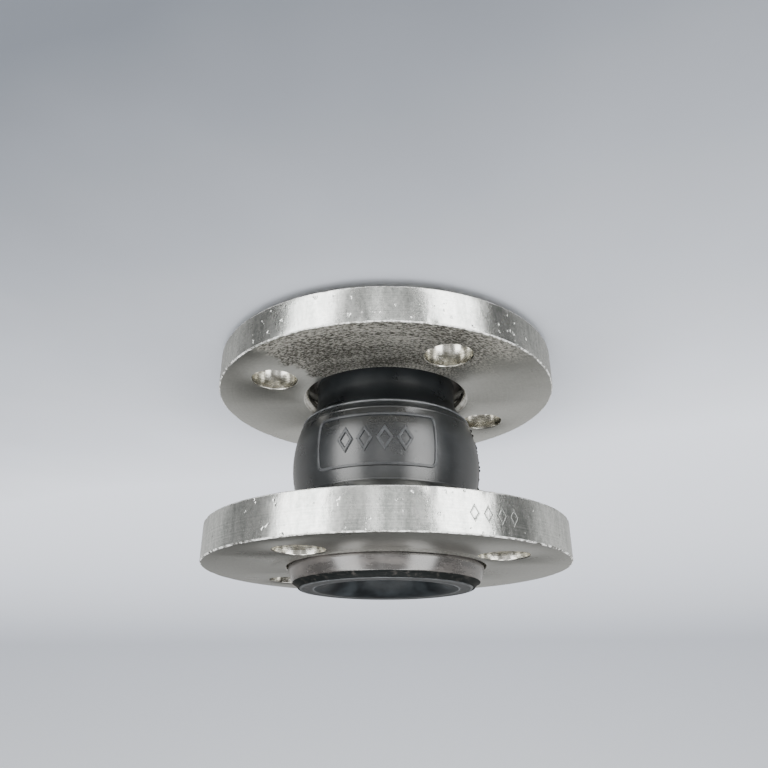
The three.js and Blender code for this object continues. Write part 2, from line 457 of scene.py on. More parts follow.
@dataclass(frozen=True)
class CoverRubber:
    """Black moulded cover rubber with a satin skin, scuffs and a little dust."""

    name: str = "cover_rubber"
    base: Colour = (0.011, 0.0135, 0.0155)
    dusty: Colour = (0.044, 0.049, 0.054)

    def material(self) -> bpy.types.Material:
        """Builds the material."""
        shader = Shader(self.name)
        cloud = shader.noise(55.0, 5.0, 0.62)
        scuffs = shader.noise(160.0, 4.0, 0.6, shader.stretched((1.0, 1.0, 6.0))).ranged(0.55, 0.75)
        grain = shader.noise(2400.0, 2.0, 0.6)
        specks = shader.noise(900.0, 1.0, 0.5).ranged(0.70, 0.76)
        dust = cloud.ranged(0.42, 0.72) * 0.5 + scuffs * 0.3 + specks * 0.5
        colour = shader.blend(dust, self.base, self.dusty)
        rough = cloud.ranged(0.3, 0.7, 0.25, 0.33) + scuffs * 0.08 + specks * 0.15
        soft = shader.bump(cloud, 0.5 * MM, 0.25)
        normal = shader.bump(grain * 0.6 + scuffs * 0.4, 0.02 * MM, 0.5, soft)
        return shader.set(Base_Color=colour, Roughness=rough, Specular_IOR_Level=1.0, Normal=normal)


@dataclass(frozen=True)
class PaintedHighlightRubber:
    """Painted highlight: rubber coloured pale in noisy patches, standing in for the highlights on the
    ridge, the lips of the sealing face and the relief.
    """

    name: str = "painted_highlight_ridge"
    base: Colour = (0.07, 0.075, 0.08)
    # The pale colour is a painted highlight.
    pale_sheen: Colour = (0.26, 0.27, 0.28)

    def material(self) -> bpy.types.Material:
        """Builds the material."""
        shader = Shader(self.name)
        # Noisy pale patches: a painted highlight.
        painted_highlight_pattern = shader.noise(180.0, 4.0, 0.65).ranged(0.35, 0.62)
        colour = shader.blend(painted_highlight_pattern, self.base, self.pale_sheen)
        return shader.set(
            Base_Color=colour, Roughness=painted_highlight_pattern.ranged(0.0, 1.0, 0.35, 0.5), Specular_IOR_Level=0.8,
            Normal=shader.bump(painted_highlight_pattern, 0.05 * MM, 0.4),
        )


@dataclass(frozen=True)
class CollarRubber:
    """Cover rubber on the collar, polished by its mould, with pale slanting patches that are partly scuffs
    and partly painted sheen.
    """

    name: str = "collar_rubber"
    base: Colour = (0.030, 0.028, 0.027)
    # Pale colour: partly scuffs, partly painted sheen.
    pale_sheen: Colour = (0.15, 0.135, 0.125)

    def material(self) -> bpy.types.Material:
        """Builds the material."""
        shader = Shader(self.name)
        turned = {"Vector": shader.place, "Rotation": (0.0, 0.6, 0.5), "Scale": (1.0, 1.0, 4.0)}
        slant = shader.node("Mapping", inputs=turned).outputs[0]
        scuffs = shader.noise(60.0, 4.0, 0.55, slant).ranged(0.42, 0.66)
        cloud = shader.noise(70.0, 4.0, 0.6)
        grain = shader.noise(2000.0, 2.0, 0.6)
        specks = shader.noise(1100.0, 1.0).ranged(0.68, 0.74)
        # The pale patches are partly scuffs and partly painted sheen.
        colour = shader.blend(scuffs * 0.55 + cloud * 0.25 + specks * 0.4, self.base, self.pale_sheen)
        rough = cloud.ranged(0.3, 0.7, 0.19, 0.29) + scuffs * 0.12 + specks * 0.2
        normal = shader.bump(scuffs * 0.6 + grain * 0.4, 0.02 * MM, 0.5)
        return shader.set(
            Base_Color=colour, Roughness=rough, Specular_IOR_Level=1.0, Coat_Weight=0.55,
            Coat_Roughness=0.16, Coat_IOR=1.6, Normal=normal,
        )


@dataclass(frozen=True)
class ChamferRubber:
    """Dull black rubber of the chamfer between the collar and the sealing ring."""

    name: str = "chamfer_rubber"
    base: Colour = (0.004, 0.005, 0.005)
    grimy: Colour = (0.05, 0.046, 0.042)

    def material(self) -> bpy.types.Material:
        """Builds the material."""
        shader = Shader(self.name)
        grime = shader.noise(500.0, 4.0, 0.7).ranged(0.55, 0.7)
        return shader.set(
            Base_Color=shader.blend(grime, self.base, self.grimy), Specular_IOR_Level=0.15,
            Roughness=grime.ranged(0.0, 1.0, 0.55, 0.7), Normal=shader.bump(grime, 0.03 * MM, 0.5),
        )


@dataclass(frozen=True)
class SealingRubber:
    """Smooth dark sealing ring."""

    name: str = "sealing_rubber"
    base: Colour = (0.004, 0.005, 0.006)
    talc: Colour = (0.024, 0.026, 0.028)

    def material(self) -> bpy.types.Material:
        """Builds the material."""
        shader = Shader(self.name)
        cloud = shader.noise(220.0, 4.0, 0.6)
        rings = shader.stripes(shader.radius(), 1.0 / (0.6 * MM), 2.0)
        colour = shader.blend((cloud * 0.6 + rings * 0.4).ranged(0.35, 0.65), self.base, self.talc)
        return shader.set(
            Base_Color=colour, Roughness=cloud.ranged(0.3, 0.7, 0.3, 0.45),
            Specular_IOR_Level=0.35, Normal=shader.bump(rings, 0.03 * MM, 0.5),
        )


@dataclass(frozen=True)
class TubeRubber:
    """Inner tube rubber, smooth and dull."""

    name: str = "tube_rubber"
    base: Colour = (0.004, 0.005, 0.006)
    bloom: Colour = (0.020, 0.024, 0.027)

    def material(self) -> bpy.types.Material:
        """Builds the material."""
        shader = Shader(self.name)
        cloud = shader.noise(110.0, 5.0, 0.6)
        wraps = shader.stripes(shader.axis("Z"), 1.0 / (2.5 * MM), 2.0)
        colour = shader.blend(cloud.ranged(0.4, 0.75), self.base, self.bloom)
        return shader.set(
            Base_Color=colour, Roughness=cloud.ranged(0.3, 0.7, 0.4, 0.55), Specular_IOR_Level=0.25,
            Normal=shader.bump(wraps * 0.4 + cloud * 0.6, 0.12 * MM, 0.35),
        )


@dataclass(frozen=True)
class TyreCord:
    """Rubberised nylon cord ply."""

    name: str = "tyre_cord"
    cord: Colour = (0.52, 0.45, 0.32)
    skim: Colour = (0.09, 0.08, 0.065)
    pitch: float = 1.1 * MM

    def material(self) -> bpy.types.Material:
        """Builds the material."""
        shader = Shader(self.name)
        turn = shader.axis("Y").math("ARCTAN2", shader.axis("X"))
        bias = turn * (30.0 * MM) + shader.axis("Z")
        cords = (bias * (2.0 * math.pi / self.pitch)).math("SINE").ranged(-1.0, 1.0)
        fuzz = shader.noise(1500.0, 3.0, 0.6)
        colour = shader.blend(cords * 0.8 + fuzz * 0.2, self.skim, self.cord)
        return shader.set(
            Base_Color=colour, Roughness=fuzz.ranged(0.3, 0.7, 0.6, 0.8),
            Normal=shader.bump(cords, 0.2 * MM, 0.8),
        )


@dataclass(frozen=True)
class BeadWire:
    """Wound bead wire."""

    name: str = "bead_wire"
    light: Colour = (0.55, 0.54, 0.52)
    dark: Colour = (0.30, 0.27, 0.23)

    def material(self) -> bpy.types.Material:
        """Builds the material."""
        shader = Shader(self.name)
        strands = shader.stripes(shader.axis("Z") + shader.radius(), 1.0 / (0.7 * MM), 1.0)
        grime = shader.noise(400.0, 4.0, 0.6)
        colour = shader.blend((strands * 0.5 + grime * 0.5).ranged(0.35, 0.65), self.dark, self.light)
        return shader.set(
            Base_Color=colour, Metallic=1.0, Roughness=grime.ranged(0.3, 0.7, 0.3, 0.5),
            Normal=shader.bump(strands, 0.15 * MM, 0.8),
        )


@dataclass(frozen=True)
class StudioPaper:
    """Pale paper under and behind the joint, with painted shade: darker toward the camera and a little
    darker toward +X.
    """

    name: str = "studio_paper"
    far: Colour = (0.74, 0.765, 0.83)
    wall: Colour = (0.93, 0.95, 0.99)
    # The near colour is painted shade on the paper toward the camera.
    near: Colour = (0.132, 0.144, 0.165)

    def material(self) -> bpy.types.Material:
        """Builds the material."""
        shader = Shader(self.name)
        mottle = shader.noise(9.0, 3.0)
        # Painted shade: the paper runs from the near colour toward the camera to the far colour, and is a
        # little darker toward +X.
        across = shader.axis("X") * -0.22
        tone = (shader.axis("Y") + across + mottle * 0.05).ranged(-0.16, 0.16)
        floor = shader.blend(tone, self.near, self.far)
        colour = shader.blend(shader.axis("Z").ranged(0.0, 0.5), floor, self.wall)
        return shader.set(Base_Color=colour, Roughness=0.95, Specular_IOR_Level=0.1)


@dataclass(frozen=True)
class ReflectedRoom:
    """Light and dark screens round the joint, seen only in its reflections."""

    name: str = "reflected_room"
    strength: float = 6.0
    camera_azimuth: float = -95.6
    soft: float = 2.5
    base: float = 0.15
    screens: tuple[tuple[float, float, float], ...] = (
        (31.0, 56.0, 3.0), (-54.0, -28.0, 3.4), (3.0, 6.5, 0.5), (-9.0, -2.0, 0.12),
        (56.0, 98.0, -0.09), (-88.0, -54.0, -0.10), (98.0, 180.0, -0.03), (-180.0, -88.0, -0.03),
    )
    low: float = 85.0 * MM
    high: float = 115.0 * MM
    above: tuple[float, float] = (0.079, 0.016)
    above_from: float = 150.0 * MM
    above_to: float = 200.0 * MM
    above_lean: float = -0.08
    back_half: tuple[float, float] = (75.0, 100.0)
    fade_down: tuple[float, ...] = (-100.0 * MM, 0.0, 0.62, 1.0)
    fade_up: tuple[float, ...] = (100.0 * MM, 170.0 * MM, 1.0, 0.5)

    def material(self) -> bpy.types.Material:
        """Builds the material."""
        shader = Shader(self.name)
        turn = math.radians(self.camera_azimuth)
        x, y = shader.axis("X"), shader.axis("Y")
        ahead = x * math.cos(turn) + y * math.sin(turn)
        aside = x * -math.sin(turn) + y * math.cos(turn)
        angle = aside.math("ARCTAN2", ahead) * math.degrees(1.0)
        level = shader.noise(6.0, 3.0) * 0.04 + (self.base - 0.03)
        for start, end, gain in self.screens:
            level = level + shader.window(angle, start, end, self.soft) * gain
        height = shader.axis("Z")
        level = level * height.ranged(*self.fade_down) * height.ranged(*self.fade_up)
        upper = height.ranged(self.low, self.high) * angle.math("ABSOLUTE").ranged(*self.back_half)
        above = height.ranged(self.above_from, self.above_to, *self.above) + x * self.above_lean
        black = (0.0, 0.0, 0.0)
        glow = shader.blend(level * (1.0 - upper) + above * upper, black, (1.0, 1.0, 0.99))
        return shader.set(Base_Color=black, Emission_Color=glow, Emission_Strength=self.strength)


# ---- Mesh helpers -----------------------------------------------------------------------------


def outline_loop(mesh: bmesh.types.BMesh, points: Sequence[Point]) -> list[bmesh.types.BMEdge]:
    """Lays a closed outline in the XZ plane.

    Args:
        mesh: The mesh to add to.
        points: Radius and height of each point, in metres.

    Returns:
        The outline's edges.
    """
    vertices = [mesh.verts.new((radius, 0.0, height)) for radius, height in points]
    pairs = zip(vertices, vertices[1:] + vertices[:1])
    return [mesh.edges.new(pair) for pair in pairs]


def spun(points: Sequence[Point], steps: int) -> bmesh.types.BMesh:
    """A ring spun about the pipe axis from a closed outline.

    Args:
        points: Radius and height of each point, in metres.
        steps: Steps in the full turn.

    Returns:
        The mesh.
    """
    mesh = bmesh.new()
    edges = outline_loop(mesh, points)
    bmesh.ops.spin(
        mesh, geom=list(mesh.verts) + edges, cent=(0, 0, 0), axis=(0, 0, 1), dvec=(0, 0, 0),
        angle=math.tau, steps=steps, use_merge=True, use_duplicate=False,
    )
    return mesh


def circle(
    mesh: bmesh.types.BMesh, radius: float, height: float, sides: int, centre: Point = (0.0, 0.0)
) -> list[bmesh.types.BMEdge]:
    """Adds an open circle in a level plane.

    Args:
        mesh: The mesh to add to.
        radius: Its radius.
        height: Its height.
        sides: Its vertices.
        centre: Its centre in the plane.

    Returns:
        Its edges.
    """
    place = Matrix.Translation((centre[0], centre[1], height))
    made = bmesh.ops.create_circle(mesh, cap_ends=False, radius=radius, segments=sides, matrix=place)
    return list({edge for vertex in made["verts"] for edge in vertex.link_edges})


def loft(mesh: bmesh.types.BMesh, rings: Sequence[list[bmesh.types.BMEdge]]) -> None:
    """Joins neighbouring rings of edges with faces."""
    for first, second in zip(rings, rings[1:]):
        bmesh.ops.bridge_loops(mesh, edges=first + second)


def arc(centre: Point, radius: float, start: float, end: float, steps: int) -> list[Point]:
    """Points on an arc, angles in degrees.

    Args:
        centre: Its centre.
        radius: Its radius.
        start: First angle.
        end: Last angle.
        steps: Steps between them.

    Returns:
        The points, both ends included.
    """
    turns = [math.radians(start + (end - start) * step / steps) for step in range(steps + 1)]
    return [(centre[0] + radius * math.cos(t), centre[1] + radius * math.sin(t)) for t in turns]


def as_piece(
    name: str,
    mesh: bmesh.types.BMesh,
    finishes: Sequence[bpy.types.Material],
    choose: Callable[[Vector, Vector], int] | None = None,
    sharp: float = 40.0,
) -> bpy.types.Object:
    """Turns a mesh into an object of the joint.

    Args:
        name: The piece's name.
        mesh: The mesh, which is freed.
        finishes: The materials.
        choose: Gives a face's material from its centre and normal.
        sharp: Edges bent by more degrees than this stay crisp.

    Returns:
        The object.
    """
    bmesh.ops.recalc_face_normals(mesh, faces=mesh.faces)
    mesh.normal_update()
    if choose is not None:
        for face in mesh.faces:
            face.material_index = choose(face.calc_center_median(), face.normal)
    data = bpy.data.meshes.new(name)
    mesh.to_mesh(data)
    mesh.free()
    data.shade_smooth()
    data.set_sharp_from_angle(angle=math.radians(sharp))
    for finish in finishes:
        data.materials.append(finish)
    piece = bpy.data.objects.new(name, data)
    bpy.context.collection.objects.link(piece)
    LOG.info("%s: %d faces", name, len(data.polygons))
    return piece


# ---- Rubber body ------------------------------------------------------------------------------


class Zone(Enum):
    """A stretch of the rubber body, with the two CAD bodies it bends between."""

    LOWER = ("lower", "lower_end", "lower_arch")
    ARCH = ("arch", "lower_arch", "upper_arch")
    UPPER = ("upper", "upper_arch", "upper_end")


class Layer(Enum):
    """A layer of the rubber body, with its record slot."""

    COVER = ("cover", "cover_rubber")
    OUTER_PLY = ("outer_ply", "cord_ply")
    INNER_PLY = ("inner_ply", "cord_ply")
    TUBE = ("inner_tube", "tube_rubber")


@dataclass
class RubberBody:
    """The moulded body: four layers in three zones, and the bead rings in its collars."""

    length: float
    collar_radius: float = 37.5 * MM
    step_radius: float = 36.0 * MM
    step_depth: float = 2.4 * MM
    full_depth: float = 6.4 * MM
    back_depth: float = 8.3 * MM
    neck_radius: float = 29.0 * MM
    neck_start: float = 12.4 * MM
    neck_end: float = 20.0 * MM
    ridge_radius: float = 34.0 * MM
    ridge_depth: float = 30.0 * MM
    ridges: tuple[tuple[float, float, float], ...] = ((0.0, 0.5, 1.2), (3.1, 0.16, 0.9))
    arch_radius: float = 37.9 * MM
    bore_radius: float = 17.5 * MM
    mouth_radius: float = 27.5 * MM
    mouth_depth: float = 9.0 * MM
    cavity_start: float = 20.0 * MM
    arch_wall: float = 6.2 * MM
    cover_wall: float = 2.0 * MM
    ply_wall: float = 1.0 * MM
    bond: float = 0.1 * MM
    sealing_radius: float = 33.0 * MM
    sealing_wall: float = 2.7 * MM
    bead_radius: float = 33.2 * MM
    wire_radius: float = 1.7 * MM
    ply_lap: float = 0.3 * MM
    hinge_depth: float = 25.0 * MM
    bend_reach: float = 4.5 * MM
    stroke_reach: float = 14.5 * MM
    face_depth: float = 0.5 * MM
    inner_lip: tuple[float, float] = (0.4 * MM, 0.65 * MM)
    outer_lip: float = 0.9 * MM
    steps: int = 180

    @property
    def middle(self) -> float:
        """Depth of the middle of the arch."""
        return self.length / 2

    @property
    def pocket(self) -> float:
        """Half the width of the groove that holds a bead ring."""
        return self.wire_radius + self.bond

    @property
    def turn_out_radius(self) -> float:
        """How far out the plies are turned under a bead ring."""
        return self.bead_radius + self.pocket + self.ply_lap

    @property
    def bead_seat(self) -> float:
        """Depth of the top of the turned-out plies."""
        return self.sealing_wall + 2 * self.ply_wall + 3 * self.bond

    def outer(self, depth: float) -> float:
        """Outside radius of the body between its necks.

        Args:
            depth: Distance from the nearer sealing face.

        Returns:
            The radius.
        """
        depth = min(depth, self.length - depth)
        if depth <= self.neck_end:
            return self.neck_radius
        if depth < self.ridge_depth:
            share = (depth - self.neck_end) / (self.ridge_depth - self.neck_end)
            flare = self.ridge_radius - self.neck_radius
            return self.ridge_radius - flare * math.cos(share * math.pi / 2)
        chord = self.middle - self.ridge_depth
        rise = self.arch_radius - self.ridge_radius
        radius = (chord**2 + rise**2) / (2 * rise)
        return self.arch_radius - radius + math.sqrt(radius**2 - (self.middle - depth) ** 2)

    def inner(self, depth: float) -> float:
        """Inside radius of the body: the bore, then the cavity under the arch."""
        depth = min(depth, self.length - depth)
        if depth <= self.cavity_start:
            return self.bore_radius
        share = (depth - self.cavity_start) / (self.middle - self.cavity_start)
        crown = self.arch_radius - self.arch_wall
        return self.bore_radius + (crown - self.bore_radius) * math.sin(share * math.pi / 2)

    def ridge(self, depth: float) -> float:
        """How far the moulding ridges stand out of the arch at a depth."""
        past = min(depth, self.length - depth) - self.ridge_depth
        for start, height, width in self.ridges:
            share = (past / MM - start) / width
            if 0 < share < 1:
                return height * MM * math.sin(share * math.pi) ** 0.6
        return 0.0

    def offsets(self, layer: Layer) -> tuple[float, float]:
        """How far a layer's outer and inner surface lie inside the outside of the body."""
        ply = self.ply_wall + self.bond
        outers = {
            Layer.COVER: 0.0,
            Layer.OUTER_PLY: self.cover_wall + self.bond,
            Layer.INNER_PLY: self.cover_wall + self.bond + ply,
            Layer.TUBE: self.cover_wall + self.bond + 2 * ply,
        }
        walls = {Layer.COVER: self.cover_wall, Layer.TUBE: 0.0}
        return outers[layer], outers[layer] + walls.get(layer, self.ply_wall)

    def surface(self, layer: Layer, depths: Iterable[float], inside: bool) -> list[Point]:
        """Points along one surface of a layer.

        Args:
            layer: The layer.
            depths: Where the points are.
            inside: True for its inner surface.

        Returns:
            The points.
        """
        if layer is Layer.TUBE and inside:
            return [(self.inner(depth), depth) for depth in depths]
        offset = self.offsets(layer)[1 if inside else 0]
        raised = layer is Layer.COVER and not inside
        return [(self.outer(d) - offset + (self.ridge(d) if raised else 0.0), d) for d in depths]

    def neck_depths(self) -> list[float]:
        """Depths of the points from the straight neck to the ridge."""
        count = 14
        span = self.ridge_depth - self.neck_end
        flare = [self.neck_end + span * i / count for i in range(count + 1)]
        return [self.neck_start + 1.0 * MM] + flare

    def arch_depths(self) -> list[float]:
        """Depths of the points across the arch, closer together on its two ridges."""
        near = [
            self.ridge_depth + (start + width * i / 8) * MM
            for start, _, width in self.ridges for i in range(9)
        ]
        far = [self.length - depth for depth in reversed(near)]
        count = 44
        span = far[0] - near[-1]
        return near + [near[-1] + span * i / count for i in range(1, count)] + far

    def cover_end(self) -> list[Point]:
        """Cover of an end: lip, step, collar, neck and shoulder, and the bead's pocket."""
        edge = self.sealing_radius + self.bond
        neck_inside = self.neck_radius - self.cover_wall
        soft = 0.45 * MM
        lip = [
            (edge, 0.75 * MM), (edge + 0.1 * MM, 0.2 * MM), (edge + 0.3 * MM, 0.12 * MM),
            (edge + 0.55 * MM, 0.25 * MM), (edge + 0.7 * MM, 0.75 * MM),
        ]
        step = [
            (self.step_radius - 0.75 * MM, self.step_depth - 0.5 * MM),
            (self.step_radius - 0.2 * MM, self.step_depth - 0.25 * MM),
            (self.step_radius, self.step_depth + 0.15 * MM),
        ]
        shoulder = [
            (self.collar_radius - 0.1 * MM, self.full_depth - 0.2 * MM),
            (self.collar_radius, self.full_depth + 0.4 * MM),
            (self.collar_radius, self.back_depth - soft),
            (self.collar_radius - 0.13 * MM, self.back_depth - 0.1 * MM),
            (self.collar_radius - soft, self.back_depth + 0.15 * MM),
        ]
        back = [
            (self.neck_radius + soft, self.neck_start - soft / 2),
            (self.neck_radius, self.neck_start + soft),
        ]
        inside = [
            (neck_inside, self.bead_seat),
            (self.bead_radius - self.pocket, self.bead_seat),
            (self.bead_radius - self.pocket, self.bead_seat + 2 * self.pocket),
            (self.bead_radius + self.pocket, self.bead_seat + 2 * self.pocket),
            (self.bead_radius + self.pocket, self.bead_seat),
            (self.turn_out_radius + self.bond, self.bead_seat),
            (self.turn_out_radius + self.bond, self.sealing_wall + self.bond),
            (edge, self.sealing_wall + self.bond),
        ]
        depths = self.neck_depths()
        outside = self.surface(Layer.COVER, depths, False)
        lining = self.surface(Layer.COVER, depths[::-1], True)
        return lip + step + shoulder + back + outside + lining + inside

    def ply_end(self, layer: Layer) -> list[Point]:
        """Cord ply of an end: up the neck from where it is turned out under the bead ring."""
        above = self.bond if layer is Layer.INNER_PLY else 2 * self.bond + self.ply_wall
        foot = self.sealing_wall + above
        outer, inner = self.offsets(layer)
        depths = self.neck_depths()
        turned = [
            (self.neck_radius - inner, foot),
            (self.turn_out_radius, foot),
            (self.turn_out_radius, foot + self.ply_wall),
            (self.neck_radius - outer, foot + self.ply_wall),
        ]
        return turned + self.surface(layer, depths, False) + self.surface(layer, depths[::-1], True)

    def tube_end(self) -> list[Point]:
        """Inner tube of an end: sealing ring with its lip, flared mouth and bore."""
        rim = self.sealing_radius
        wide, deep = self.mouth_radius - self.bore_radius, self.mouth_depth
        turns = [math.radians(90.0 * i / 14) for i in range(15)]
        mouth = [(self.mouth_radius - wide * math.sin(t), deep * (1 - math.cos(t))) for t in turns]
        lip = [
            (self.mouth_radius + 0.6 * MM, 0.05 * MM), (rim - 1.1 * MM, 0.05 * MM),
            (rim - 0.85 * MM, 0.0), (rim - 0.35 * MM, 0.0), (rim, 0.3 * MM),
        ]
        outer = self.offsets(Layer.TUBE)[0]
        depths = self.neck_depths()
        bore = [self.cavity_start] + [d for d in depths if d > self.cavity_start]
        return (
            mouth[::-1] + lip
            + [(rim, self.sealing_wall), (self.neck_radius - outer, self.sealing_wall)]
            + self.surface(Layer.TUBE, depths, False)
            + self.surface(Layer.TUBE, bore[::-1], True)
        )

    def section(self, layer: Layer, zone: Zone) -> list[Point]:
        """Closed outline of a layer in a zone, radius and height.

        Args:
            layer: The layer.
            zone: The zone.

        Returns:
            The points, in metres.
        """
        if zone is Zone.ARCH:
            depths = self.arch_depths()
            return self.surface(layer, depths, False) + self.surface(layer, depths[::-1], True)
        if layer is Layer.COVER:
            points = self.cover_end()
        elif layer is Layer.TUBE:
            points = self.tube_end()
        else:
            points = self.ply_end(layer)
        if zone is Zone.UPPER:
            points = [(radius, self.length - height) for radius, height in points]
        return points

    def bend(self, piece: bpy.types.Object, zone: Zone) -> None:
        """Bakes a piece's placement into its mesh.

        Args:
            piece: The piece.
            zone: Not used.
        """
        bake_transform(piece)

    def depth(self, height: float) -> float:
        """Distance of a height from the nearer sealing face."""
        return min(height, self.length - height)

    def dress_cover(self, centre: Vector, normal: Vector) -> int:
        """Index of a face's finish: 2 on the chamfer, 1 up to the collar's back, 0 elsewhere."""
        depth = self.depth(centre.z)
        if depth < self.step_depth - 0.3 * MM:
            return 2
        return 1 if depth < self.neck_start else 0

    def dress_arch(self, centre: Vector, normal: Vector) -> int:
        """Index of a face's finish: 1, a painted highlight, on the ridge and 0 elsewhere."""
        start, _, width = self.ridges[0]
        margin = 0.1
        past = (self.depth(centre.z) - self.ridge_depth) / MM - start
        outside = math.hypot(centre.x, centre.y) > self.ridge_radius - 0.3 * MM
        return 1 if outside and margin < past < width - margin else 0

    def dress_tube(self, centre: Vector, normal: Vector) -> int:
        """Index of a face's finish: 2, a painted highlight, on the two lips, 1 between them, 0 elsewhere.
        """
        radius = math.hypot(centre.x, centre.y)
        within, beyond = self.inner_lip
        if self.depth(centre.z) > self.face_depth or radius < self.mouth_radius - within:
            return 0
        inner = radius < self.mouth_radius + beyond
        return 2 if inner or radius > self.sealing_radius - self.outer_lip else 1

    def build(self) -> bpy.types.Material:
        """Builds every layer in every zone, and the bead rings.

        Returns:
            The cover's finish.
        """
        cover, collar = CoverRubber().material(), CollarRubber().material()
        tube, sealing = TubeRubber().material(), SealingRubber().material()
        # The ridge and the sealing lips get pale painted highlights.
        cord, ridge = TyreCord().material(), PaintedHighlightRubber().material()
        lip = PaintedHighlightRubber("painted_highlight_lip", (0.02, 0.022, 0.024), (0.085, 0.09, 0.095)).material()
        dress = {
            Layer.COVER: ([cover, collar, ChamferRubber().material()], self.dress_cover),
            Layer.TUBE: ([tube, sealing, lip], self.dress_tube),
        }
        for layer in Layer:
            name, slot = layer.value
            for zone in Zone:
                finishes, choose = dress.get(layer, ([cord], None))
                label = f"{name}_{zone.value[0]}"
                if layer is Layer.COVER and zone is Zone.ARCH:
                    finishes, choose = [cover, ridge], self.dress_arch
                piece = as_piece(label, spun(self.section(layer, zone), self.steps), finishes, choose)
                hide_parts(*self.nodes(name, zone))
                self.bend(piece, zone)
        self.build_beads()
        return cover

    @staticmethod
    def nodes(name: str, zone: Zone) -> list[str]:
        """The CAD nodes that a layer's piece stands for."""
        halves = {
            Zone.LOWER: ["lower_end"],
            Zone.ARCH: ["lower_arch", "upper_arch"],
            Zone.UPPER: ["upper_end"],
        }
        return [f"{name}_{half}" for half in halves[zone]]

    def build_beads(self) -> None:
        """Builds the two bead rings."""
        wire = BeadWire().material()
        depth = self.bead_seat + self.pocket
        for side, height in (("lower", depth), ("upper", self.length - depth)):
            section = arc((self.bead_radius, height), self.wire_radius, 0.0, 345.0, 23)
            piece = as_piece(f"bead_ring_{side}", spun(section, 96), [wire])
            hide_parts(f"{side}_bead_ring")
            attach(piece, f"{side}_end")


# ---- Relief moulded on the arch -----------------------------------------------------------------


